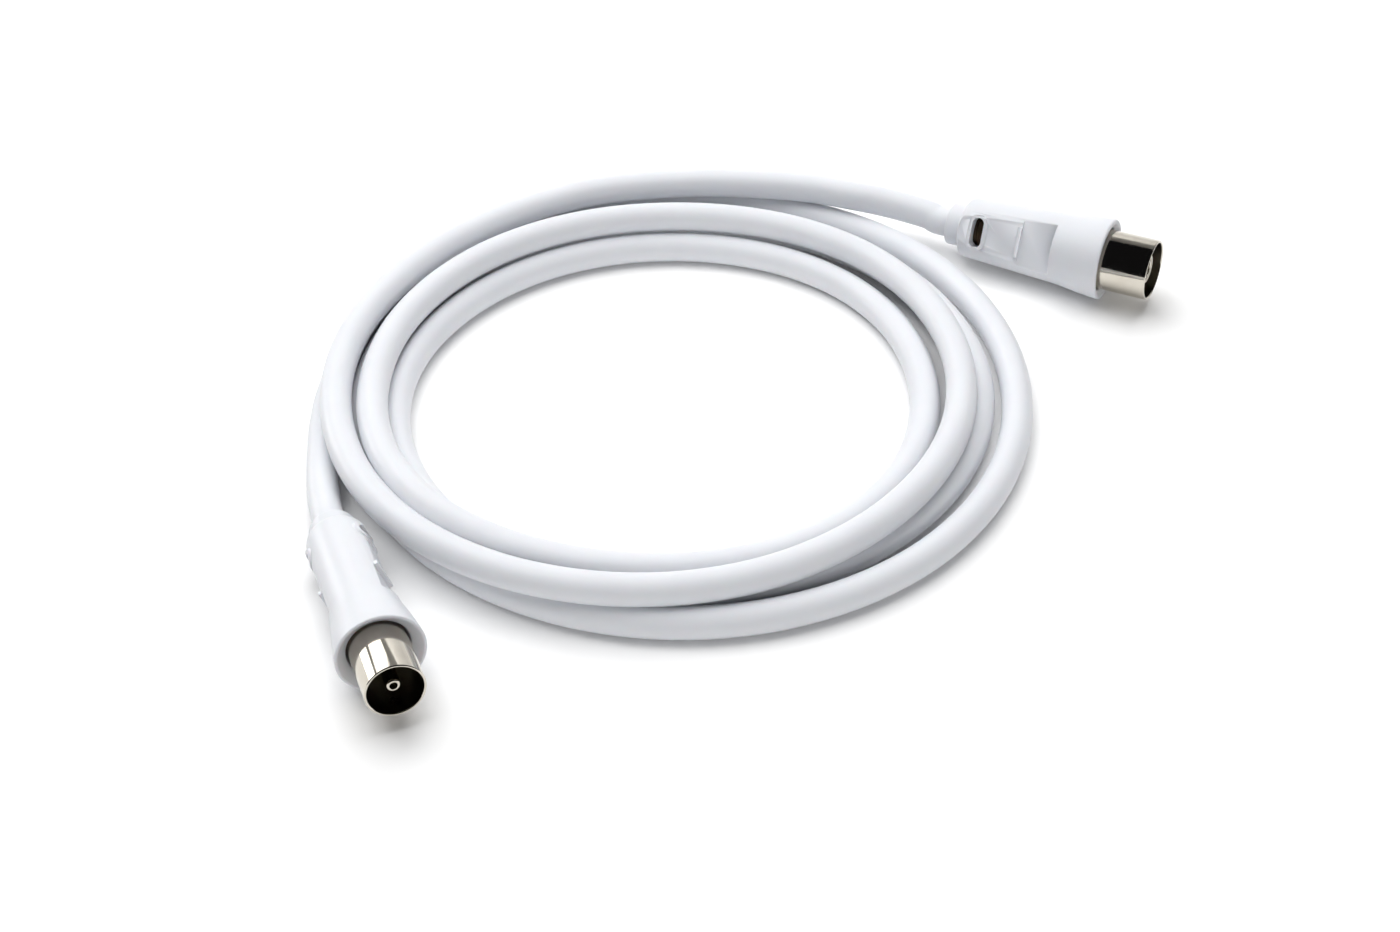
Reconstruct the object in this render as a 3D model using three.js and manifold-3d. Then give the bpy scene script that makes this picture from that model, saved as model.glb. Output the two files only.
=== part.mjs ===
// A white television antenna extension cable, coiled and lying on a flat surface.
// One end carries a male coaxial plug, the other a female coaxial socket, both moulded onto the cable.
// Millimetres, +Z up. The origin lies on the surface, midway between the outer ends of the two connectors.

import * as THREE from 'three';
import { mergeVertices } from 'three/addons/utils/BufferGeometryUtils.js';
import Module from 'manifold-3d';

const wasm = await Module();
wasm.setup();

// Clearance between pieces that touch on the real cable
const GAP = 0.3;

// Cable and coil
const CABLE_DIAMETER = 5.4;
const CABLE_RADIUS = CABLE_DIAMETER / 2;
const COIL_INNER_TURN = 44.3;
const COIL_OUTER_TURN = 59.1;
const UPPER_LAYER_RISE = 4.9;
const UPPER_TURN_INSET = 1.8;
const UPPER_TURN_SPACING = 7.4;
const COIL_SIDES = 60;
const TAIL_SIDES = 10;
const TAIL_STEP = 2.5 * CABLE_DIAMETER;

// The plug and the socket: lengths run along the mating axis, from the front face of the moulded collar
const PLUG = {
  name: 'male',
  collarRadius: 7.2,
  waistRadius: 5.7,
  rearRadius: 5,
  bodyLength: 30.5,
  flareLength: 9,
  dishRadius: 6.7,
  dishDepth: 1.6,
  flatDistance: 4.85,
  gripStart: 10,
  sleeveRadius: 4.75,
  sleeveWall: 0.4,
  sleeveReach: 9,
};
const SOCKET = {
  name: 'female',
  collarRadius: 7.55,
  waistRadius: 6.6,
  rearRadius: 5.5,
  bodyLength: 28,
  flareLength: 8,
  dishRadius: 6.7,
  dishDepth: 0.8,
  flatDistance: 4.9,
  gripStart: 9.4,
  sleeveRadius: 5.55,
  sleeveWall: 0.45,
  sleeveReach: 8.6,
};

// What both moulded bodies share
const NECK_RADIUS = 3.9;
const NECK_LENGTH = 3;
const COLLAR_EDGE = 0.4;
const FLARE_SWELL = 0.15;
const REAR_EDGE = 1;
const GRIP_STEP = 0.35;
const RIB_WIDTH = 0.8;
const RIB_PLACE = 6.4;
const RIB_HEIGHT = 5.6;
const WINDOW_WIDTH = 2.2;
const WINDOW_LENGTH = 5.6;
const WINDOW_PLACE = 3.8;
const WINDOW_RIM = 0.7;
const WINDOW_RISE = 0.3;
const BODY_SIDES = 40;

// What lies inside both connectors
const SLEEVE_SEAT = 7;
const INSULATOR_LENGTH = 5;
const FERRULE_RADIUS = 3.1;
const FERRULE_WALL = 0.5;
const FERRULE_STOP = 1.2;
const PIN_RADIUS = 1.15;
const PIN_EDGE = 0.25;
const PIN_SIDES = 24;
const PIN_BORE = 0.6;
const PIN_BORE_DEPTH = 2.5;
const PIN_SETBACK = 1.2;
const CONTACT_RADIUS = 1.75;
const CONTACT_BORE = 1.2;
const NOSE_WALL = 0.6;
const NOSE_SETBACK = 1;

// Where things lie, in plan from the middle of the coil
const SOCKET_FRONT = { x: 79.1, y: 32.9, yaw: -116.5, pitch: 2.2, roll: -27 };
const PLUG_FRONT = { x: -43.9, y: -69.7, yaw: -160, pitch: 4.5, roll: 20 };
const SOCKET_TAIL = [
  [33.5, 53.5, 7.9],
  [37.6, 52.6, 7.5],
  [42.2, 51.3, 7],
  [47.2, 49.2, 6.6],
];
const PLUG_TAIL = [
  [-58, -28.8, 3],
  [-57.3, -31.8, 3.4],
];

const WHITE = 0xf2f2f0;
const cableJacket = new THREE.MeshStandardMaterial({ color: WHITE, roughness: 0.45 });
const mouldedWhite = new THREE.MeshStandardMaterial({ color: WHITE, roughness: 0.35 });
const nickel = new THREE.MeshStandardMaterial({ color: 0xc9c2b2, roughness: 0.18, metalness: 1 });
const insulation = new THREE.MeshStandardMaterial({ color: 0xe9e4d6, roughness: 0.6 });

function mesh(name, geometry, material) {
  const made = new THREE.Mesh(geometry, material);
  made.name = name;
  return made;
}

// Points along an arc in the half plane of a turned profile
function arc(centreX, centreY, radius, fromDegrees, toDegrees, steps) {
  const points = [];
  for (let i = 0; i <= steps; i++) {
    const angle = THREE.MathUtils.degToRad(fromDegrees + ((toDegrees - fromDegrees) * i) / steps);
    points.push(new THREE.Vector2(centreX + radius * Math.cos(angle), centreY + radius * Math.sin(angle)));
  }
  return points;
}

const at = (radius, along) => new THREE.Vector2(radius, along);

// Turned about the local Y axis. Each profile runs so that the faces point out
function turned(points, sides = BODY_SIDES) {
  return new THREE.LatheGeometry(points, sides);
}

function toSolid(geometry) {
  const bare = geometry.index ? geometry.toNonIndexed() : geometry.clone();
  bare.deleteAttribute('normal');
  bare.deleteAttribute('uv');
  const merged = mergeVertices(bare, 1e-4);
  const triVerts = [];
  for (let i = 0; i < merged.index.count; i += 3) {
    const [a, b, c] = [0, 1, 2].map((k) => merged.index.getX(i + k));
    if (a !== b && b !== c && c !== a) triVerts.push(a, b, c);
  }
  return new wasm.Manifold(
    new wasm.Mesh({
      numProp: 3,
      vertProperties: new Float32Array(merged.attributes.position.array),
      triVerts: new Uint32Array(triVerts),
    }),
  );
}

function toGeometry(solid) {
  const result = solid.getMesh();
  const geometry = new THREE.BufferGeometry();
  geometry.setAttribute('position', new THREE.BufferAttribute(new Float32Array(result.vertProperties), 3));
  geometry.setIndex(new THREE.BufferAttribute(new Uint32Array(result.triVerts), 1));
  geometry.computeVertexNormals();
  return geometry;
}

function box(sizeX, sizeY, sizeZ, x, y, z) {
  return toSolid(new THREE.BoxGeometry(sizeX, sizeY, sizeZ).translate(x, y, z));
}

// A prism with round ends on one side of the body, long across the axis, between two distances from it
function oblong(part, side, margin, inner, outer) {
  const straight = (WINDOW_LENGTH - WINDOW_WIDTH) / 2;
  const radius = WINDOW_WIDTH / 2 + margin;
  const outline = new THREE.Shape();
  outline.absarc(0, straight, radius, 0, Math.PI, false);
  outline.absarc(0, -straight, radius, Math.PI, 2 * Math.PI, false);
  const settings = { depth: outer - inner, bevelEnabled: false, curveSegments: 8 };
  const prism = new THREE.ExtrudeGeometry(outline, settings);
  prism.translate(0, 0, inner);
  prism.rotateX(Math.PI / 2);
  prism.rotateZ((side * Math.PI) / 2);
  return toSolid(prism.translate(0, WINDOW_PLACE - part.bodyLength, 0));
}

// The flat on one side of the body, deeper in its front part, with a rib behind that
function gripCutter(part, side) {
  const across = 4 * part.collarRadius;
  const front = -part.gripStart;
  const length = part.bodyLength + NECK_LENGTH - part.gripStart;
  const place = (distance) => side * (distance + across / 2);
  const flat = box(across, length, across, place(part.flatDistance), front - length / 2, 0);
  const deeper = part.flatDistance - GRIP_STEP;
  const step = box(across, RIB_PLACE, across, place(deeper), front - RIB_PLACE / 2, 0);
  const ribMiddle = front - RIB_PLACE - RIB_WIDTH / 2;
  const rib = box(2 * GRIP_STEP, RIB_WIDTH, RIB_HEIGHT, side * part.flatDistance, ribMiddle, 0);
  return flat.add(step).subtract(rib);
}

// The low rim round a window, which follows the round body at its ends
function windowRim(part, side) {
  const radius = part.rearRadius + 1.5 * WINDOW_RISE;
  const rear = WINDOW_PLACE - part.bodyLength - WINDOW_LENGTH;
  const front = rear + 2 * WINDOW_LENGTH;
  const round = [at(0, rear), at(radius, rear), at(radius, front), at(0, front)];
  const inner = FERRULE_RADIUS + 2 * GAP;
  const prism = oblong(part, side, WINDOW_RIM, inner, part.flatDistance + WINDOW_RISE);
  return prism.intersect(toSolid(turned(round)));
}

// The moulded body: a turned shape with a neck and a dished collar, two grip flats and two rimmed windows
function makeBody(part) {
  const rear = -part.bodyLength;
  const sleeveBore = part.sleeveRadius + GAP;
  const seatEnd = -SLEEVE_SEAT - GAP;
  const ferruleBore = FERRULE_RADIUS + GAP;
  const ferruleEnd = rear + FERRULE_STOP;
  const profile = [
    at(0, rear - NECK_LENGTH),
    at(NECK_RADIUS, rear - NECK_LENGTH),
    at(NECK_RADIUS, rear),
    ...arc(part.rearRadius - REAR_EDGE, rear + REAR_EDGE, REAR_EDGE, -90, 0, 4),
    at(part.waistRadius, -part.flareLength),
    at((part.waistRadius + part.collarRadius) / 2 + FLARE_SWELL, -part.flareLength / 2),
    ...arc(part.collarRadius - COLLAR_EDGE, -COLLAR_EDGE, COLLAR_EDGE, 0, 90, 5),
    at(part.dishRadius, 0),
    at(sleeveBore, -part.dishDepth),
    at(sleeveBore, seatEnd),
    at(ferruleBore, seatEnd),
    at(ferruleBore, ferruleEnd),
    at(0, ferruleEnd),
  ];
  let body = toSolid(turned(profile));
  for (const side of [1, -1]) {
    body = body.subtract(gripCutter(part, side));
    body = body.add(windowRim(part, side));
    body = body.subtract(oblong(part, side, 0, 0, part.collarRadius));
  }
  return mesh(`${part.name}_body`, toGeometry(body), mouldedWhite);
}

// The plated sleeve: a thin tube with a turned-over rim, stepping down behind the insulator
function makeSleeve(part) {
  const outer = part.sleeveRadius;
  const inner = outer - part.sleeveWall;
  const rim = part.sleeveWall / 2;
  const profile = [
    at(inner, -SLEEVE_SEAT),
    at(outer, -SLEEVE_SEAT),
    ...arc(outer - rim, part.sleeveReach - rim, rim, 0, 180, 6),
    at(inner, -SLEEVE_SEAT),
  ];
  return mesh(`${part.name}_sleeve`, turned(profile), nickel);
}

function makeFerrule(part) {
  const front = -SLEEVE_SEAT - 2 * GAP;
  const rear = FERRULE_STOP + GAP - part.bodyLength;
  const inner = FERRULE_RADIUS - FERRULE_WALL;
  const profile = [
    at(inner, rear),
    at(FERRULE_RADIUS, rear),
    at(FERRULE_RADIUS, front),
    at(inner, front),
    at(inner, rear),
  ];
  return mesh(`${part.name}_ferrule`, turned(profile), nickel);
}

function makePlug() {
  const group = new THREE.Group();
  const boreRadius = PLUG.sleeveRadius - PLUG.sleeveWall - GAP;
  const tip = PLUG.sleeveReach - PIN_SETBACK;
  const insulatorRear = -SLEEVE_SEAT;
  const insulatorFront = insulatorRear + INSULATOR_LENGTH;
  const holeRadius = PIN_RADIUS + GAP;
  const insulator = [
    at(holeRadius, insulatorRear),
    at(boreRadius, insulatorRear),
    at(boreRadius, insulatorFront),
    at(holeRadius, insulatorFront),
    at(holeRadius, insulatorRear),
  ];
  const pin = [
    at(0, insulatorRear),
    at(PIN_RADIUS, insulatorRear),
    ...arc(PIN_RADIUS - PIN_EDGE, tip - PIN_EDGE, PIN_EDGE, 0, 90, 3),
    at(PIN_BORE, tip),
    at(PIN_BORE, tip - PIN_BORE_DEPTH),
    at(0, tip - PIN_BORE_DEPTH),
  ];
  group.add(
    makeBody(PLUG),
    makeSleeve(PLUG),
    makeFerrule(PLUG),
    mesh('male_insulator', turned(insulator), insulation),
    mesh('male_pin', turned(pin, PIN_SIDES), nickel),
  );
  return group;
}

function makeSocket() {
  const group = new THREE.Group();
  const boreRadius = SOCKET.sleeveRadius - SOCKET.sleeveWall - GAP;
  const front = SOCKET.sleeveReach - NOSE_SETBACK;
  const rear = -SLEEVE_SEAT;
  const holeRadius = CONTACT_RADIUS + GAP;
  const noseRadius = holeRadius + NOSE_WALL;
  const insulator = [
    at(holeRadius, rear),
    at(boreRadius, rear),
    at(boreRadius, rear + INSULATOR_LENGTH),
    at(noseRadius, rear + INSULATOR_LENGTH),
    at(noseRadius, front),
    at(holeRadius, front),
    at(holeRadius, rear),
  ];
  const contact = [
    at(0, rear),
    at(CONTACT_RADIUS, rear),
    at(CONTACT_RADIUS, front),
    at(CONTACT_BORE, front),
    at(CONTACT_BORE, rear + INSULATOR_LENGTH),
    at(0, rear + INSULATOR_LENGTH),
  ];
  group.add(
    makeBody(SOCKET),
    makeSleeve(SOCKET),
    makeFerrule(SOCKET),
    mesh('female_insulator', turned(insulator), insulation),
    mesh('female_contact', turned(contact, PIN_SIDES), nickel),
  );
  return group;
}

// Turns a connector to its heading and lays its lowest point on the surface
function lay(group, place) {
  const { x, y, yaw, pitch, roll } = place;
  const [turn, tilt, spin] = [yaw, pitch, roll].map(THREE.MathUtils.degToRad);
  group.rotation.set(tilt, spin, turn, 'ZXY');
  group.position.set(x, y, 0);
  group.updateMatrixWorld(true);
  group.position.z = -new THREE.Box3().setFromObject(group, true).min.z;
  group.updateMatrixWorld(true);
  return group;
}

// The cable's end sits just clear of the neck, square to it
function tailPoints(group, part, list) {
  const neckEnd = -part.bodyLength - NECK_LENGTH;
  const points = list.map(([x, y, z]) => new THREE.Vector3(x, y, z));
  for (const back of [CABLE_RADIUS, GAP]) {
    points.push(group.localToWorld(new THREE.Vector3(0, neckEnd - back, 0)));
  }
  return points;
}

function makeTail(name, points) {
  const path = new THREE.CatmullRomCurve3(points, false, 'centripetal');
  const section = new THREE.Shape();
  for (let i = 0; i < TAIL_SIDES; i++) {
    const angle = (2 * Math.PI * i) / TAIL_SIDES;
    const corner = [CABLE_RADIUS * Math.cos(angle), CABLE_RADIUS * Math.sin(angle)];
    if (i === 0) section.moveTo(...corner);
    else section.lineTo(...corner);
  }
  section.closePath();
  const steps = Math.max(2, Math.ceil(path.getLength() / TAIL_STEP) * 2);
  const tube = new THREE.ExtrudeGeometry(section, { steps, extrudePath: path, bevelEnabled: false });
  return mesh(name, tube, cableJacket);
}

// The wound turns as one turned ring: two layers, with the round tops of the turns showing
function makeCoil() {
  const low = CABLE_RADIUS;
  const high = CABLE_RADIUS + UPPER_LAYER_RISE;
  const outerUpper = COIL_OUTER_TURN - UPPER_TURN_INSET;
  const innerUpper = outerUpper - UPPER_TURN_SPACING;
  const profile = [
    ...arc(COIL_OUTER_TURN, low, CABLE_RADIUS, -90, 25, 5),
    ...arc(outerUpper, high, CABLE_RADIUS, -20, 205, 8),
    ...arc(innerUpper, high, CABLE_RADIUS, -25, 200, 8),
    ...arc(COIL_INNER_TURN, low, CABLE_RADIUS, 40, 270, 8),
  ];
  profile.push(profile[0].clone());
  const ring = new THREE.LatheGeometry(profile, COIL_SIDES);
  ring.rotateX(Math.PI / 2);
  return mesh('cable_coil', ring, cableJacket);
}

const plug = lay(makePlug(), PLUG_FRONT);
const socket = lay(makeSocket(), SOCKET_FRONT);
const connectors = new THREE.Group();
connectors.add(plug, socket);
const span = new THREE.Box3().setFromObject(connectors, true);
const middle = span.getCenter(new THREE.Vector3());

const cable = new THREE.Group();
cable.add(
  connectors,
  makeCoil(),
  makeTail('cable_tail_female', tailPoints(socket, SOCKET, SOCKET_TAIL)),
  makeTail('cable_tail_male', tailPoints(plug, PLUG, PLUG_TAIL)),
);
cable.position.set(-middle.x, -middle.y, 0);
cable.updateMatrixWorld(true);

export default cable;
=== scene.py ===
# %% [markdown]
# # A television antenna extension cable
# The object is 1.5 m of white coaxial cable in a loose coil, with a moulded plug on one end and a
# moulded socket on the other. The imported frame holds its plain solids. This lesson dresses them:
# first the camera and the cable, then the light, and then the two connectors piece by piece.

import math

import bmesh
import bpy
from mathutils import Matrix, Vector


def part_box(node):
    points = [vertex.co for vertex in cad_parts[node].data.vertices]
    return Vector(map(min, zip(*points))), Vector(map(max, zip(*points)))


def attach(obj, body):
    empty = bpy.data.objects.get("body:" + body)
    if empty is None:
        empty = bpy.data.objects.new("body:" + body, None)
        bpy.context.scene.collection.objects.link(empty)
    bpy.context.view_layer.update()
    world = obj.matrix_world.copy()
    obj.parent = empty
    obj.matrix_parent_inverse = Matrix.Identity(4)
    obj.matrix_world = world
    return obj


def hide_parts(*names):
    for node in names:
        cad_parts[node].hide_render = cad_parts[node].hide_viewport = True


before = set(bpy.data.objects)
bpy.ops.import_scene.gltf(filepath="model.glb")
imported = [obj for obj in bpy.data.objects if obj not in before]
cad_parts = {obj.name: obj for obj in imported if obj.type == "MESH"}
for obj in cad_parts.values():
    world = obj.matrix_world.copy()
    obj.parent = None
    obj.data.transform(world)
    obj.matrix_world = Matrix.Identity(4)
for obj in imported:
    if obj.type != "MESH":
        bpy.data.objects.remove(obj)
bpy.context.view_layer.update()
print("solids in the frame:", len(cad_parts))

# %% [markdown]
# ## Units and the middle of the coil
# A cable maker's drawing is in millimetres and Blender works in metres, so sizes are written in
# millimetres and scaled once. The plain coil is a round ring, so the middle of its box is the point
# that the turns wind about.

# %% Millimetres and the coil's middle
MM = 0.001


def box_middle(node):
    low, high = (Vector(corner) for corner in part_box(node))
    return (low + high) / 2


coil_middle = box_middle("cable_coil") / MM
print("middle of the coil, mm:", [round(value, 2) for value in coil_middle])

# %% [markdown]
# ## The camera
# The photograph looks down at the coil from 40 degrees, from close by, with a lens a little longer
# than normal. One aim point, one distance and one angle say all of that, and they stay easy to change.

# %% Set the camera
AIM = Vector((-11.11, -2.24, 0)) * MM
CAMERA_DISTANCE = 397 * MM
CAMERA_ELEVATION = math.radians(40)
SENSOR_WIDTH = 36
FOCAL_LENGTH = 60.22
camera = bpy.data.objects.new("camera", bpy.data.cameras.new("camera"))
camera.data.sensor_width = SENSOR_WIDTH
camera.data.lens = FOCAL_LENGTH
toward_camera = Vector((0, -math.cos(CAMERA_ELEVATION), math.sin(CAMERA_ELEVATION)))
camera.location = AIM + toward_camera * CAMERA_DISTANCE
camera.rotation_euler = (math.pi / 2 - CAMERA_ELEVATION, 0, 0)
bpy.context.scene.collection.objects.link(camera)
bpy.context.scene.camera = camera
print("camera at", [round(value, 3) for value in camera.location])

# %% [markdown]
# ## Where the two connectors lie
# Each connector is turned about its own mating axis, so all its pieces are drawn upright along Y, with
# the front face of the collar at zero, and are then laid down by one matrix. The sleeve is a plain
# turned tube, so the middle of its box lies on that axis, and the frame gives the place. A dish is
# written as its radius and depth, and a heading as yaw, pitch and roll in degrees.

# %% Sizes and places of the connectors
SLEEVE_SEAT = 7.0
NECK_RADIUS = 3.9
NECK_LENGTH = 3.0
PLUG = {
    "name": "male",
    "collar": 7.2,
    "waist": 5.7,
    "rear": 5.0,
    "length": 30.5,
    "flare": 9.0,
    "dish": (6.7, 1.6),
    "flat": 4.85,
    "grip": 10.0,
    "sleeve": 4.75,
    "wall": 0.4,
    "reach": 9.0,
    "heading": (-160.0, 4.5, 20.0),
}
SOCKET = {
    "name": "female",
    "collar": 7.55,
    "waist": 6.6,
    "rear": 5.5,
    "length": 28.0,
    "flare": 8.0,
    "dish": (6.7, 0.8),
    "flat": 4.9,
    "grip": 9.4,
    "sleeve": 5.55,
    "wall": 0.45,
    "reach": 8.6,
    "heading": (-116.5, 2.2, -27.0),
}


def connector_place(part):
    yaw, pitch, roll = (math.radians(angle) for angle in part["heading"])
    turn = Matrix.Rotation(yaw, 4, "Z") @ Matrix.Rotation(pitch, 4, "X") @ Matrix.Rotation(roll, 4, "Y")
    sleeve_middle = Vector((0, (part["reach"] - SLEEVE_SEAT) / 2, 0))
    front = box_middle(part["name"] + "_sleeve") / MM - turn @ sleeve_middle
    return Matrix.Translation(front) @ turn


for part in (PLUG, SOCKET):
    part["place"] = connector_place(part)
    part["neck_end"] = part["place"] @ Vector((0, -part["length"] - NECK_LENGTH, 0))
    print(part["name"], "neck ends at", [round(value, 2) for value in part["neck_end"]])

# %% [markdown]
# ## The route of the cable
# The real cable is wound by hand, so its turns are never quite round: each has its own radius every
# eighth of a turn, and two turns lie in the grooves of the turns below. The loop walks round the coil
# in steps of 15 degrees and reads radius and height between those places. The loose ends, from the
# coil to the connectors, are short lists of points.

# %% Radius and height of each turn
FIRST_ANGLE = 90
EIGHTH = 45
FLOOR_LAYER = 2.7
WINDING_MIDDLE = (-1.0, -0.3)
TURN_RADII = [
    (57.9, 56.1, 57.3, 58.4, 55.4, 51.5, 50.0, 49.6),
    (47.6, 48.8, 50.85, 53.0, 46.6, 45.1, 44.1, 44.9),
    (44.4, 45.4, 47.6, 49.6, 51.5, 51.8, 53.6, 54.2),
    (53.0, 53.0, 53.3, 55.8, 57.8, 59.2, 60.1, 61.5),
    (59.6, 59.3, 59.0),
]
TURN_HEIGHTS = [
    (8.0, 7.8, 7.8, 7.8, 7.6, 7.5, 7.3, 7.3),
    (7.4, 7.4, 7.4, 8.0, 3.6, 2.7, 2.7, 2.7),
    (FLOOR_LAYER,) * 8,
    (FLOOR_LAYER,) * 8,
    (FLOOR_LAYER,) * 3,
]
radii = [radius for turn in TURN_RADII for radius in turn]
heights = [height for turn in TURN_HEIGHTS for height in turn]
print("turns in the coil:", round((len(radii) - 1) / 8, 2))

# %% Walk round the coil
STEP = 15


def between(values, place):
    """Reads a list at a place between two of its values, on a smooth curve through all of them."""
    index = min(int(place), len(values) - 2)
    share = place - index
    before = values[max(index - 1, 0)]
    start, end = values[index], values[index + 1]
    after = values[min(index + 2, len(values) - 1)]
    return (
        start
        + share * (end - before) / 2
        + share**2 * (before - 2.5 * start + 2 * end - after / 2)
        + share**3 * (1.5 * (start - end) + (after - before) / 2)
    )


def winding_point(angle):
    place = (angle - FIRST_ANGLE) / EIGHTH
    radius, height = between(radii, place), between(heights, place)
    turn = math.radians(angle)
    x = WINDING_MIDDLE[0] + radius * math.cos(turn)
    y = WINDING_MIDDLE[1] + radius * math.sin(turn)
    return Vector((x, y, height))


last_angle = FIRST_ANGLE + EIGHTH * (len(radii) - 1)
coil_points = [winding_point(angle) for angle in range(FIRST_ANGLE, last_angle + 1, STEP)]
print("points round the coil:", len(coil_points))

# %% The loose ends
CABLE_DIAMETER = 5.4
SOCKET_END = [
    (10.4, 57.8, 8.0),
    (21.5, 56.6, 8.0),
    (28.0, 55.2, 8.0),
    (33.5, 53.5, 7.9),
    (37.6, 52.6, 7.5),
    (42.2, 51.3, 7.0),
    (47.2, 49.2, 6.6),
]
PLUG_END = [
    (-60.2, -8.5, 2.7),
    (-59.6, -17.0, 2.7),
    (-58.8, -24.0, 2.8),
    (-58.0, -28.8, 3.0),
    (-57.3, -31.8, 3.4),
]


def neck_points(part):
    """Two points straight out of a neck, the second where the cable meets it."""
    middle = Vector((coil_middle.x, coil_middle.y, 0))
    axis = part["place"].to_3x3() @ Vector((0, 1, 0))
    return [part["neck_end"] - middle - axis * back for back in (CABLE_DIAMETER / 2, 0)]


socket_side = [Vector(point) for point in SOCKET_END] + neck_points(SOCKET)
plug_side = [Vector(point) for point in PLUG_END] + neck_points(PLUG)
route = list(reversed(socket_side)) + coil_points + plug_side
print("points on the route:", len(route))

# %% Smooth the route and measure it
FINE_STEPS = 5


def smoothed(points):
    """Adds points between the given ones, on a curve that passes through them all."""
    axes = [[point[axis] for point in points] for axis in range(3)]
    count = (len(points) - 1) * FINE_STEPS
    return [Vector([between(values, i / FINE_STEPS) for values in axes]) for i in range(count + 1)]


lift_to_frame = Vector((coil_middle.x, coil_middle.y, 0))
centreline = [(point + lift_to_frame) * MM for point in smoothed(route)]

# %% [markdown]
# ## The cable itself
# A curve with a round bevel is the natural way to draw a cable in Blender: the curve stays the
# centreline, and the bevel gives the jacket. The bevel is one metre deep and each point's own radius
# shrinks it to the jacket, because Blender adds that radius to the curve's box. The ends are closed.

# %% Draw the cable
curve = bpy.data.curves.new("cable", "CURVE")
curve.dimensions = "3D"
curve.bevel_depth = 1
curve.bevel_resolution = 10
curve.use_fill_caps = True
spline = curve.splines.new("POLY")
spline.points.add(len(centreline) - 1)
for knot, point in zip(spline.points, centreline):
    knot.co = (*point, 1)
    knot.radius = CABLE_DIAMETER / 2 * MM
spline.use_smooth = True
cable = bpy.data.objects.new("cable", curve)
bpy.context.scene.collection.objects.link(cable)
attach(cable, "root")
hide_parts("cable_coil", "cable_tail_female", "cable_tail_male")

# %% [markdown]
# ## Materials
# Blender mixes light in linear numbers, while a colour picker gives sRGB hex values, so one function
# turns one into the other. A second function adds a node, sets it and links it.

# %% Helpers for the materials


def linear(hex_colour):
    channels = [int(hex_colour[i : i + 2], 16) / 255 for i in (1, 3, 5)]
    return [c / 12.92 if c <= 0.04045 else ((c + 0.055) / 1.055) ** 2.4 for c in channels] + [1.0]


def add_node(tree, kind, settings=None, values=None, links=None):
    """Adds a node. settings are its own options, values its sockets, links its input sockets."""
    node = tree.nodes.new(kind)
    for key, value in (settings or {}).items():
        setattr(node, key, value)
    for key, value in (values or {}).items():
        node.inputs[key].default_value = value
    for key, source in (links or {}).items():
        tree.links.new(source, node.inputs[key])
    return node


def new_material(name):
    material = bpy.data.materials.new(name)
    material.use_nodes = True
    tree = material.node_tree
    tree.nodes.clear()
    return material, tree


def finish_material(tree, shader):
    add_node(tree, "ShaderNodeOutputMaterial", links={"Surface": shader.outputs[0]})


# %% [markdown]
# ### White PVC
# The jacket is extruded PVC: white with a little blue, satin, and slightly uneven along its length
# from the extruder. The bodies are moulded over the cable in a harder white PVC with slightly more
# gloss. Both get slow variations of colour, finer ones of roughness, and a very shallow bump, all in
# object space. A little subsurface light softens the shading, as white PVC does.

# %% White PVC
CLOUD_SIZE = 9.0
GLOSS_BELOW = 0.05
GLOSS_ABOVE = 0.06
PVC_IOR = 1.53
GLOW_SHARE = 0.08
GLOW_DEPTH = 1.5


def white_pvc(name, light, shade, roughness, ripple_size, ripple_height):
    """ripple_size and ripple_height are in millimetres."""
    material, tree = new_material(name)
    where = add_node(tree, "ShaderNodeTexCoord").outputs["Object"]
    slow = add_node(
        tree,
        "ShaderNodeTexNoise",
        values={"Scale": 1 / (CLOUD_SIZE * MM), "Detail": 2.0},
        links={"Vector": where},
    )
    fine = add_node(
        tree,
        "ShaderNodeTexNoise",
        values={"Scale": 1 / (ripple_size * MM), "Detail": 3.0},
        links={"Vector": where},
    )
    tint = add_node(
        tree,
        "ShaderNodeMix",
        settings={"data_type": "RGBA"},
        values={"A": linear(shade), "B": linear(light)},
        links={"Factor": slow.outputs["Fac"]},
    )
    gloss = add_node(
        tree,
        "ShaderNodeMapRange",
        values={"To Min": roughness - GLOSS_BELOW, "To Max": roughness + GLOSS_ABOVE},
        links={"Value": fine.outputs["Fac"]},
    )
    bump = add_node(
        tree,
        "ShaderNodeBump",
        values={"Strength": 1.0, "Distance": ripple_height * MM},
        links={"Height": fine.outputs["Fac"]},
    )
    shader = add_node(
        tree,
        "ShaderNodeBsdfPrincipled",
        values={"IOR": PVC_IOR, "Subsurface Weight": GLOW_SHARE, "Subsurface Scale": GLOW_DEPTH * MM},
        links={
            "Base Color": tint.outputs["Result"],
            "Roughness": gloss.outputs["Result"],
            "Normal": bump.outputs["Normal"],
        },
    )
    finish_material(tree, shader)
    return material


extruded_pvc = white_pvc("extruded_white_pvc", "#e4e6ea", "#dddfe4", 0.36, 2.4, 0.03)
moulded_pvc = white_pvc("moulded_white_pvc", "#e1e3e7", "#dbdde2", 0.34, 2.4, 0.02)
cable.data.materials.append(extruded_pvc)
print("materials:", extruded_pvc.name, moulded_pvc.name)

# %% [markdown]
# ## Turned shapes
# Almost every piece of an antenna connector is round about the mating axis, so it is turned: a few
# corner points are joined into a profile, the corners are rounded by a vertex bevel, and the profile
# is spun about Y. Each corner is (radius, distance along the axis, rounding), in millimetres. Wide
# sleeves get more steps than thin pins, so all of them look equally round.

# %% Turn a profile
TURN_STEPS = 96
FINE_TURN_STEPS = 128
SMALL_TURN_STEPS = 64
THIN_TURN_STEPS = 48
WELD_DISTANCE = 0.002
SHARP_EDGE = math.radians(40)


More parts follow.
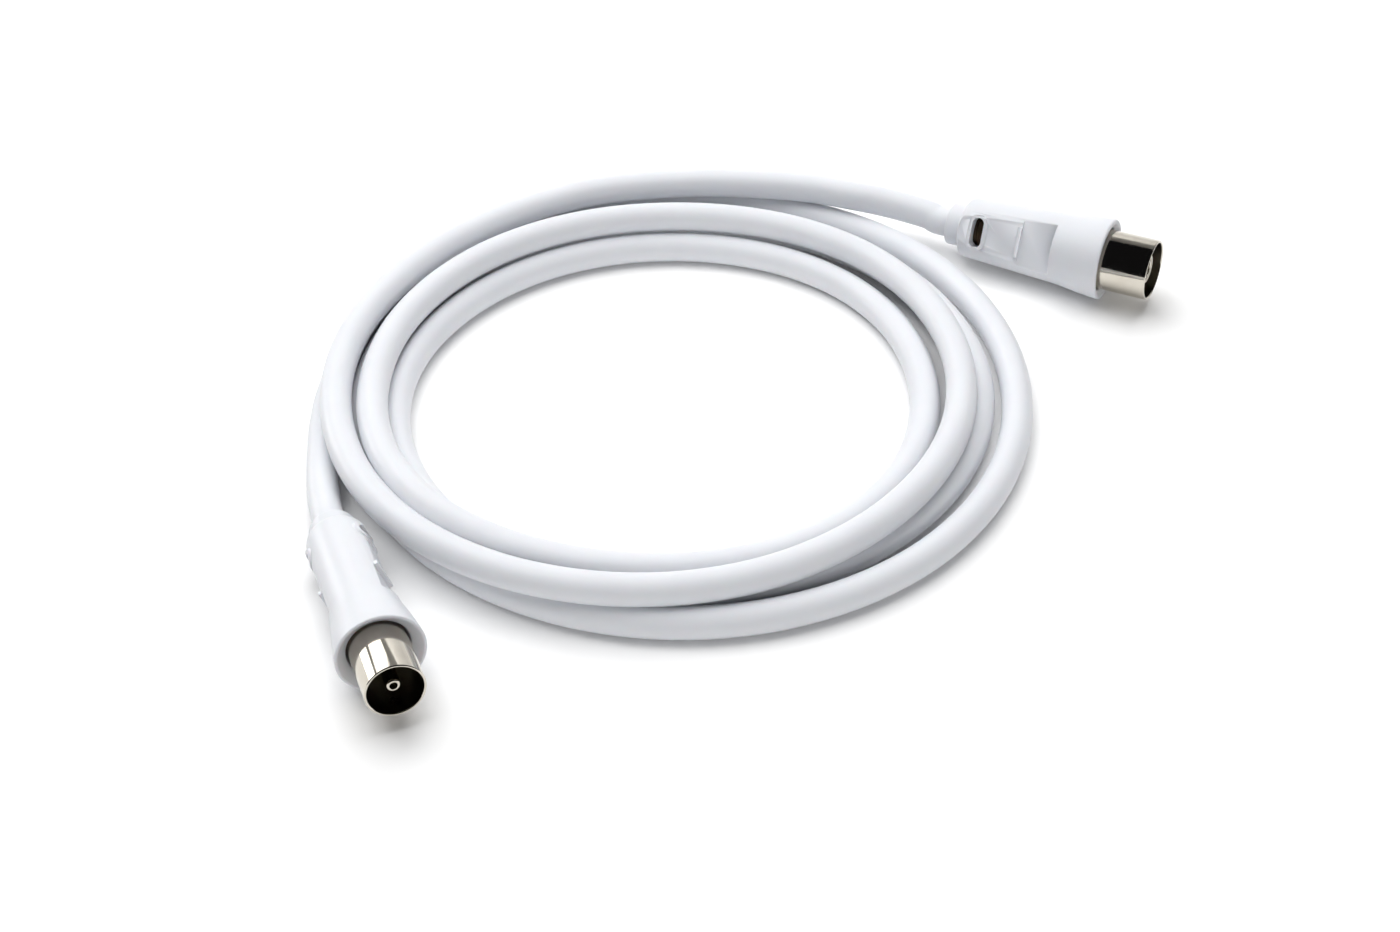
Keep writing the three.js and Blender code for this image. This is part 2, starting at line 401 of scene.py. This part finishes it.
def turned(corners, closed=False, steps=TURN_STEPS):
    shape = bmesh.new()
    verts = [shape.verts.new((radius, along, 0)) for radius, along, rounding in corners]
    for pair in zip(verts, verts[1:] + verts[:1] if closed else verts[1:]):
        shape.edges.new(pair)
    for size in sorted({rounding for radius, along, rounding in corners if rounding}):
        chosen = [vert for vert, corner in zip(verts, corners) if corner[2] == size]
        bmesh.ops.bevel(
            shape, geom=chosen, offset=size, affect="VERTICES", segments=5, profile=0.5, material=-1
        )
    bmesh.ops.spin(
        shape,
        geom=shape.verts[:] + shape.edges[:],
        cent=(0, 0, 0),
        axis=(0, 1, 0),
        angle=2 * math.pi,
        steps=steps,
        use_merge=True,
    )
    bmesh.ops.remove_doubles(shape, verts=shape.verts, dist=WELD_DISTANCE)
    bmesh.ops.recalc_face_normals(shape, faces=shape.faces)
    return shape


def lay_down(name, shape, part, material):
    """Turns a shape in millimetres into a piece at its place."""
    shape.transform(Matrix.Scale(MM, 4) @ part["place"])
    for face in shape.faces:
        face.smooth = True
    for rim in shape.edges:
        rim.smooth = not rim.is_manifold or rim.calc_face_angle() < SHARP_EDGE
    data = bpy.data.meshes.new(name)
    shape.to_mesh(data)
    shape.free()
    data.materials.append(material)
    piece = bpy.data.objects.new(name, data)
    bpy.context.scene.collection.objects.link(piece)
    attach(piece, "root")
    print(name, "faces:", len(data.polygons))
    return piece


# %% [markdown]
# ## The moulded body
# The white body is moulded round the crimped cable end in one shot. It is a slim cone with a flared
# collar, and each side has a flat for the finger, deeper in its front part, with a small rib behind
# that. Further back an oblong window with a low rim shows the crimp, where a pin of the mould held
# it. The cone is turned, and the flats and windows are cut by booleans from simple tools, as the
# mould has them. The edges that the cuts leave are then rounded.

# %% Tools that cut the body
GRIP_STEP = 0.35
RIB_PLACE = 6.4
RIB_WIDTH = 0.8
RIB_HEIGHT = 5.6
WINDOW_WIDTH = 2.2
WINDOW_LENGTH = 5.6
WINDOW_PLACE = 3.8
WINDOW_RIM = 0.7
WINDOW_RISE = 0.3
WINDOW_SIDES = 48
REACH_OUT = 12.0


def slab(inner, outer, rear, front, height):
    """A box from inner to outer along X and from rear to front along Y, centred in Z."""
    shape = bmesh.new()
    bmesh.ops.create_cube(shape, size=1)
    bmesh.ops.scale(shape, verts=shape.verts, vec=(outer - inner, front - rear, height))
    bmesh.ops.translate(shape, verts=shape.verts, vec=((inner + outer) / 2, (rear + front) / 2, 0))
    return shape


def oblong(along, inner, outer, margin=0.0):
    """A prism with round ends, long in Z, from inner to outer along X."""
    shape = bmesh.new()
    bmesh.ops.create_circle(shape, cap_ends=True, segments=WINDOW_SIDES, radius=WINDOW_WIDTH / 2 + margin)
    straight = (WINDOW_LENGTH - WINDOW_WIDTH) / 2
    for vert in shape.verts:
        vert.co.y += straight if vert.co.y > 0 else -straight
    shape.transform(Matrix.Rotation(math.pi / 2, 4, "Y") @ Matrix.Rotation(math.pi / 2, 4, "Z"))
    made = bmesh.ops.extrude_face_region(shape, geom=shape.faces[:])["geom"]
    far = [item for item in made if isinstance(item, bmesh.types.BMVert)]
    bmesh.ops.translate(shape, verts=far, vec=(outer - inner, 0, 0))
    bmesh.ops.translate(shape, verts=shape.verts, vec=(inner, along, 0))
    bmesh.ops.recalc_face_normals(shape, faces=shape.faces)
    return shape


# %% Cut one shape by others


def plain_object(name, shape):
    data = bpy.data.meshes.new(name)
    shape.to_mesh(data)
    shape.free()
    item = bpy.data.objects.new(name, data)
    bpy.context.scene.collection.objects.link(item)
    return item


def combined(shape, tools, sides=(0, 1)):
    """Applies (operation, shape) tools one after the other, on both sides of the axis."""
    blank = plain_object("blank", shape)
    helpers = []
    for number, (operation, tool) in enumerate(tools):
        for side in sides:
            copy = tool.copy()
            copy.transform(Matrix.Rotation(side * math.pi, 4, "Y"))
            helper = plain_object(f"tool_{number}_{side}", copy)
            modifier = blank.modifiers.new("cut", "BOOLEAN")
            modifier.operation = operation
            modifier.solver = "EXACT"
            modifier.object = helper
            helpers.append(helper)
        tool.free()
    result = bmesh.new()
    result.from_object(blank, bpy.context.evaluated_depsgraph_get())
    for item in [blank, *helpers]:
        bpy.data.objects.remove(item)
    return result


MERGE_DISTANCE = 0.005
CUT_EDGE = math.radians(28)


def soften(shape, size):
    """Rounds the edges that the cuts left."""
    bmesh.ops.remove_doubles(shape, verts=shape.verts, dist=MERGE_DISTANCE)
    bmesh.ops.dissolve_degenerate(shape, edges=shape.edges, dist=MERGE_DISTANCE)
    sharp = [rim for rim in shape.edges if rim.is_manifold and rim.calc_face_angle() > CUT_EDGE]
    bmesh.ops.bevel(
        shape,
        geom=sharp,
        offset=size,
        affect="EDGES",
        segments=3,
        profile=0.5,
        material=-1,
        clamp_overlap=True,
    )
    return shape


# %% Mould the bodies
SLEEVE_GAP = 0.3
RIB_ROOT = 0.6
NECK_EDGE = 0.5
NECK_FILLET = 0.6
REAR_ROUNDING = 1.1
FLARE_BLEND = 2.0
FERRULE_RADIUS = 3.1
FERRULE_STOP = 1.2
FLARE_SWELL = 0.15
COLLAR_SHARE = 0.6
DISH_SHARE = 0.3
DISH_FILLET = 0.2
EDGE_ROUNDING = 0.12


def window_rim(part, along):
    """The low rim round a window, which follows the round body at its ends."""
    radius = part["rear"] + 1.5 * WINDOW_RISE
    ends = (along - WINDOW_LENGTH, along + WINDOW_LENGTH)
    round_bar = turned([(0, ends[0], 0), (radius, ends[0], 0), (radius, ends[1], 0), (0, ends[1], 0)])
    start = FERRULE_RADIUS + 2 * SLEEVE_GAP
    prism = oblong(along, start, part["flat"] + WINDOW_RISE, WINDOW_RIM)
    return combined(prism, [("INTERSECT", round_bar)], sides=(0,))


def moulded_body(part):
    rear = -part["length"]
    bore = part["sleeve"] + SLEEVE_GAP
    seat = -SLEEVE_SEAT - SLEEVE_GAP
    crimp = FERRULE_RADIUS + SLEEVE_GAP
    middle = (part["waist"] + part["collar"]) / 2 + FLARE_SWELL
    dish_radius, dish_depth = part["dish"]
    lip = part["collar"] - dish_radius
    profile = [
        (0, rear - NECK_LENGTH, 0),
        (NECK_RADIUS, rear - NECK_LENGTH, NECK_EDGE),
        (NECK_RADIUS, rear, NECK_FILLET),
        (part["rear"], rear, REAR_ROUNDING),
        (part["waist"], -part["flare"], FLARE_BLEND),
        (middle, -part["flare"] / 2, FLARE_BLEND),
        (part["collar"], 0, COLLAR_SHARE * lip),
        (dish_radius, 0, DISH_SHARE * lip),
        (bore, -dish_depth, DISH_FILLET),
        (bore, seat, 0),
        (crimp, seat, 0),
        (crimp, rear + FERRULE_STOP, 0),
        (0, rear + FERRULE_STOP, 0),
    ]
    front = -part["grip"]
    rib = front - RIB_PLACE
    root = part["flat"] - RIB_ROOT
    window = rear + WINDOW_PLACE
    tall = 4 * part["collar"]
    tools = [
        ("DIFFERENCE", slab(part["flat"], REACH_OUT, rear - NECK_LENGTH, front, tall)),
        ("DIFFERENCE", slab(part["flat"] - GRIP_STEP, REACH_OUT, rib, front, tall)),
        ("UNION", slab(root, part["flat"] + GRIP_STEP, rib - RIB_WIDTH, rib, RIB_HEIGHT)),
        ("UNION", window_rim(part, window)),
        ("DIFFERENCE", oblong(window, 0, REACH_OUT)),
    ]
    shape = soften(combined(turned(profile), tools), EDGE_ROUNDING)
    body = lay_down(part["name"] + "_moulding", shape, part, moulded_pvc)
    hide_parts(part["name"] + "_body")
    return body


plug_body = moulded_body(PLUG)
socket_body = moulded_body(SOCKET)

# %% [markdown]
# ## Nickel plating
# The sleeves, the pin and the spring contact are turned brass with bright nickel on top. Nickel is a
# little warmer than chrome, and it mirrors the room. Fine rings from the lathe run round the axis, so
# the pattern is read along the axis of each connector: a Mapping node turns object space that way.
# Plating hardly reaches the inside of a narrow tube, so the metal there is duller; its darker colour is
# painted shade inside the tube.

# %% Nickel and the other metals
RING_STRETCH = 0.02
CLOUD_SCALE = 0.35
LEAST_GLOSS = 0.7
MOST_GLOSS = 1.4


def turned_metal(name, part, light, shade, roughness, ring_width, ring_height):
    """ring_width and ring_height are in millimetres."""
    material, tree = new_material(name)
    where = add_node(tree, "ShaderNodeTexCoord").outputs["Object"]
    back = (Matrix.Scale(MM, 4) @ part["place"]).inverted()
    local = add_node(
        tree,
        "ShaderNodeMapping",
        settings={"vector_type": "POINT"},
        values={
            "Location": back.to_translation(),
            "Rotation": back.to_euler("XYZ"),
            "Scale": back.to_scale(),
        },
        links={"Vector": where},
    )
    along = add_node(
        tree,
        "ShaderNodeVectorMath",
        settings={"operation": "MULTIPLY"},
        values={1: (RING_STRETCH, 1 / ring_width, RING_STRETCH)},
        links={0: local.outputs["Vector"]},
    )
    rings = add_node(
        tree,
        "ShaderNodeTexNoise",
        values={"Scale": 1.0, "Detail": 2.0},
        links={"Vector": along.outputs["Vector"]},
    )
    cloud = add_node(
        tree,
        "ShaderNodeTexNoise",
        values={"Scale": CLOUD_SCALE, "Detail": 3.0},
        links={"Vector": local.outputs["Vector"]},
    )
    tint = add_node(
        tree,
        "ShaderNodeMix",
        settings={"data_type": "RGBA"},
        values={"A": linear(shade), "B": linear(light)},
        links={"Factor": cloud.outputs["Fac"]},
    )
    gloss = add_node(
        tree,
        "ShaderNodeMapRange",
        values={"To Min": roughness * LEAST_GLOSS, "To Max": roughness * MOST_GLOSS},
        links={"Value": cloud.outputs["Fac"]},
    )
    bump = add_node(
        tree,
        "ShaderNodeBump",
        values={"Strength": 1.0, "Distance": ring_height * MM},
        links={"Height": rings.outputs["Fac"]},
    )
    shader = add_node(
        tree,
        "ShaderNodeBsdfPrincipled",
        values={"Metallic": 1.0},
        links={
            "Base Color": tint.outputs["Result"],
            "Roughness": gloss.outputs["Result"],
            "Normal": bump.outputs["Normal"],
        },
    )
    finish_material(tree, shader)
    return material


for part in (PLUG, SOCKET):
    part["nickel"] = turned_metal(
        part["name"] + "_nickel_plating", part, "#d8d3c8", "#c6bfb2", 0.09, 0.25, 0.0015
    )
    # The inside material's darker colours are painted shade inside the tube.
    part["bare_inside"] = turned_metal(
        part["name"] + "_dull_brass_painted_shade", part, "#6b6558", "#4c463b", 0.3, 0.25, 0.002
    )
print("nickel on:", PLUG["name"], "and", SOCKET["name"])

# %% [markdown]
# ## Sleeves
# The outer contact of both connectors is a thin drawn tube with a turned-over rim. The plug's is
# 9.5 mm across outside, the standard size, and the socket's is the wider one that slips over it.

# %% Draw the sleeves
RIM_SHARE = 0.45


def sleeve(part):
    outer, inner = part["sleeve"], part["sleeve"] - part["wall"]
    rim = part["wall"] * RIM_SHARE
    profile = [
        (inner, -SLEEVE_SEAT, 0),
        (outer, -SLEEVE_SEAT, 0),
        (outer, part["reach"], rim),
        (inner, part["reach"], rim),
    ]
    shape = turned(profile, closed=True, steps=FINE_TURN_STEPS)
    middle = (outer + inner) / 2
    # Faces inside the tube get the darker material, which is painted shade.
    for face in shape.faces:
        spot = face.calc_center_median()
        is_inside = math.hypot(spot.x, spot.z) < middle and spot.y < part["reach"] - rim
        face.material_index = 1 if is_inside else 0
    piece = lay_down(part["name"] + "_outer_contact", shape, part, part["nickel"])
    piece.data.materials.append(part["bare_inside"])
    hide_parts(part["name"] + "_sleeve")
    return piece


plug_sleeve = sleeve(PLUG)
socket_sleeve = sleeve(SOCKET)

# %% [markdown]
# ## Insulators, pin and spring contact
# Inside each sleeve a polyethylene disc carries the inner contact. The plug's is a hollow pin of
# 2.3 mm, and the socket's is a tube that grips such a pin, inside a pale nose. One saw cut across
# its end splits it into two springs.

# %% Polyethylene
polyethylene = white_pvc("turned_polyethylene", "#ece6d8", "#ddd6c6", 0.5, 0.5, 0.01)

# %% Inner parts of the plug
PIN_RADIUS = 1.15
PIN_SETBACK = 1.2
PIN_TIP = PLUG["reach"] - PIN_SETBACK
PIN_ROUNDING = 0.35
PIN_BORE = 0.6
PIN_BORE_DEPTH = 2.5
DRILL_POINT = 0.2
INSULATOR_LENGTH = 5.0
RECESS_RADIUS = 2.4
RECESS_TAPER = 0.2
RECESS_DEPTH = 0.6
disc_front = INSULATOR_LENGTH - SLEEVE_SEAT
plug_bore = PLUG["sleeve"] - PLUG["wall"] - SLEEVE_GAP
plug_disc = lay_down(
    "male_disc",
    turned(
        [
            (PIN_RADIUS + SLEEVE_GAP, -SLEEVE_SEAT, 0),
            (plug_bore, -SLEEVE_SEAT, 0),
            (plug_bore, disc_front, 0.3),
            (RECESS_RADIUS, disc_front, 0.2),
            (RECESS_RADIUS - RECESS_TAPER, disc_front - RECESS_DEPTH, 0.2),
            (PIN_RADIUS + SLEEVE_GAP, disc_front - RECESS_DEPTH, 0.1),
        ],
        closed=True,
    ),
    PLUG,
    polyethylene,
)
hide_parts("male_insulator")
pin = lay_down(
    "male_inner_contact",
    turned(
        [
            (0, -SLEEVE_SEAT, 0),
            (PIN_RADIUS, -SLEEVE_SEAT, 0),
            (PIN_RADIUS, PIN_TIP, PIN_ROUNDING),
            (PIN_BORE, PIN_TIP, 0.1),
            (PIN_BORE, PIN_TIP - PIN_BORE_DEPTH, 0),
            (0, PIN_TIP - PIN_BORE_DEPTH - DRILL_POINT, 0),
        ],
        steps=THIN_TURN_STEPS,
    ),
    PLUG,
    PLUG["nickel"],
)
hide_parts("male_pin")

# %% Inner parts of the socket
CONTACT_RADIUS = 1.75
CONTACT_BORE = 1.2
NOSE_SETBACK = 1.0
NOSE_WALL = 0.6
NOSE_FRONT = SOCKET["reach"] - NOSE_SETBACK
nose_bore = CONTACT_RADIUS + SLEEVE_GAP
nose_radius = nose_bore + NOSE_WALL
socket_bore = SOCKET["sleeve"] - SOCKET["wall"] - SLEEVE_GAP
nose = lay_down(
    "female_nose",
    turned(
        [
            (nose_bore, -SLEEVE_SEAT, 0),
            (socket_bore, -SLEEVE_SEAT, 0),
            (socket_bore, disc_front, 0.3),
            (nose_radius, disc_front, 0.3),
            (nose_radius, NOSE_FRONT, 0.2),
            (nose_bore, NOSE_FRONT, 0.15),
        ],
        closed=True,
        steps=SMALL_TURN_STEPS,
    ),
    SOCKET,
    polyethylene,
)
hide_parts("female_insulator")
SLOT_WIDTH = 0.35
SLOT_LENGTH = 5.0
SLOT_HEIGHT = 6.0
tube = turned(
    [
        (0, -SLEEVE_SEAT, 0),
        (CONTACT_RADIUS, -SLEEVE_SEAT, 0),
        (CONTACT_RADIUS, NOSE_FRONT, 0.2),
        (CONTACT_BORE, NOSE_FRONT, 0.2),
        (CONTACT_BORE, disc_front, 0),
        (0, disc_front, 0),
    ],
    steps=THIN_TURN_STEPS,
)
slot_front = NOSE_FRONT + NOSE_SETBACK
slot = slab(-SLOT_WIDTH / 2, SLOT_WIDTH / 2, NOSE_FRONT - SLOT_LENGTH, slot_front, SLOT_HEIGHT)
contact = lay_down(
    "female_inner_contact",
    combined(tube, [("DIFFERENCE", slot)]),
    SOCKET,
    SOCKET["nickel"],
)
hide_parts("female_contact")

# %% [markdown]
# ## The crimp behind the windows
# Behind each window sits the ferrule that was crimped over the cable's shield. It is tinned, with the
# copper showing where the tool squeezed it, and it has a few pressed rings. It is dull, and its dark
# colours are painted shade for the little light that gets in behind the window.

# %% Ferrules
FERRULE_WALL = 0.5
RING_SPACING = 0.75
RING_HALF_WIDTH = 0.25
RING_DEPTH = 0.2
RING_EDGE = 0.05


def ferrule(part):
    front = -SLEEVE_SEAT - 2 * SLEEVE_GAP
    rear = FERRULE_STOP + SLEEVE_GAP - part["length"]
    inner = FERRULE_RADIUS - FERRULE_WALL
    window = WINDOW_PLACE - part["length"]
    rings = []
    for number in (-1, 0, 1):
        middle = window + number * RING_SPACING
        rings += [
            (FERRULE_RADIUS, middle - RING_HALF_WIDTH, RING_EDGE),
            (FERRULE_RADIUS - RING_DEPTH, middle, RING_EDGE),
            (FERRULE_RADIUS, middle + RING_HALF_WIDTH, RING_EDGE),
        ]
    profile = [
        (inner, rear, 0),
        (FERRULE_RADIUS, rear, 0),
        *rings,
        (FERRULE_RADIUS, front, 0),
        (inner, front, 0),
    ]
    name = part["name"] + "_tinned_copper_painted_shade"
    # These colours are painted dark: painted shade on the ferrule behind the window.
    metal = turned_metal(name, part, "#7a6a58", "#4a3326", 0.35, 0.4, 0.01)
    shape = turned(profile, closed=True, steps=SMALL_TURN_STEPS)
    piece = lay_down(part["name"] + "_crimp", shape, part, metal)
    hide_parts(part["name"] + "_ferrule")
    return piece


plug_crimp = ferrule(PLUG)
socket_crimp = ferrule(SOCKET)

# %% [markdown]
# ## Floor and light
# The photograph is a bright studio picture: the floor is burnt out to white, the shadows are soft and
# the metal mirrors a dark room in front. So a white floor curves up behind the coil, one wide lamp
# hangs overhead, a weaker one fills from the front, and the world around them is nearly dark. The
# metal would mirror those two as plain white, so it sees only a small softbox low on the left and a
# strip above it. They draw the white bands on the plug and cast no light of their own.

# %% Floor
FLOOR_SIZE = 1.6
FLOOR_BACK = 0.5
BACKDROP_CURVE = [(0, 0.2, 0.05), (0, 0.1, 0.15), (0, 0.03, 0.4), (0, 0, 1.0)]
floor_mesh = bmesh.new()
start = floor_mesh.verts.new((-FLOOR_SIZE, -FLOOR_SIZE, 0))
end = floor_mesh.verts.new((FLOOR_SIZE, -FLOOR_SIZE, 0))
edge = floor_mesh.edges.new((start, end))
moving = [edge]
for step in [(0, FLOOR_SIZE + FLOOR_BACK, 0), *BACKDROP_CURVE]:
    made = bmesh.ops.extrude_edge_only(floor_mesh, edges=moving)["geom"]
    moving = [item for item in made if isinstance(item, bmesh.types.BMEdge)]
    verts = [item for item in made if isinstance(item, bmesh.types.BMVert)]
    bmesh.ops.translate(floor_mesh, verts=verts, vec=step)
bmesh.ops.recalc_face_normals(floor_mesh, faces=floor_mesh.faces)
floor_data = bpy.data.meshes.new("floor")
floor_mesh.to_mesh(floor_data)
floor_mesh.free()
floor = bpy.data.objects.new("floor", floor_data)
bpy.context.scene.collection.objects.link(floor)
floor_paint, tree = new_material("matt_white_backdrop")
finish_material(
    tree,
    add_node(
        tree,
        "ShaderNodeBsdfPrincipled",
        values={"Base Color": linear("#fdfdfd"), "Roughness": 0.9, "Specular IOR Level": 0.1},
    ),
)
floor_data.materials.append(floor_paint)
print("floor, m:", 2 * FLOOR_SIZE)

# %% Lamps


def add_lamp(name, place, size, watts, colour):
    lamp = bpy.data.objects.new(name, bpy.data.lights.new(name, "AREA"))
    lamp.data.shape = "RECTANGLE"
    lamp.data.size, lamp.data.size_y = size
    lamp.data.energy = watts
    lamp.data.color = linear(colour)[:3]
    lamp.location = place
    lamp.rotation_euler = (AIM - lamp.location).to_track_quat("-Z", "Y").to_euler()
    bpy.context.scene.collection.objects.link(lamp)
    return lamp


overhead = add_lamp("overhead", (-0.15, 0.25, 0.85), (1.2, 1.0), 12.4, "#ffffff")
front_fill = add_lamp("front_fill", (0.25, -0.9, 0.45), (0.8, 0.6), 3.0, "#ffffff")
for lamp in (overhead, front_fill):
    lamp.visible_glossy = False
left_softbox = add_lamp("left_softbox", (-0.85, 0.4, 0.2), (0.5, 0.36), 2.2, "#ffffff")
plug_strip = add_lamp("plug_strip", (-0.5, 0.48, 0.56), (0.6, 0.3), 1.3, "#ffffff")
for lamp in (left_softbox, plug_strip):
    lamp.visible_diffuse = False
world = bpy.data.worlds.new("dark_room")
world.use_nodes = True
world.node_tree.nodes["Background"].inputs["Color"].default_value = linear("#f1f3ff")
world.node_tree.nodes["Background"].inputs["Strength"].default_value = 0.008
bpy.context.scene.world = world
bpy.context.scene.view_settings.view_transform = "Standard"
print("lamps:", len(bpy.data.lights))
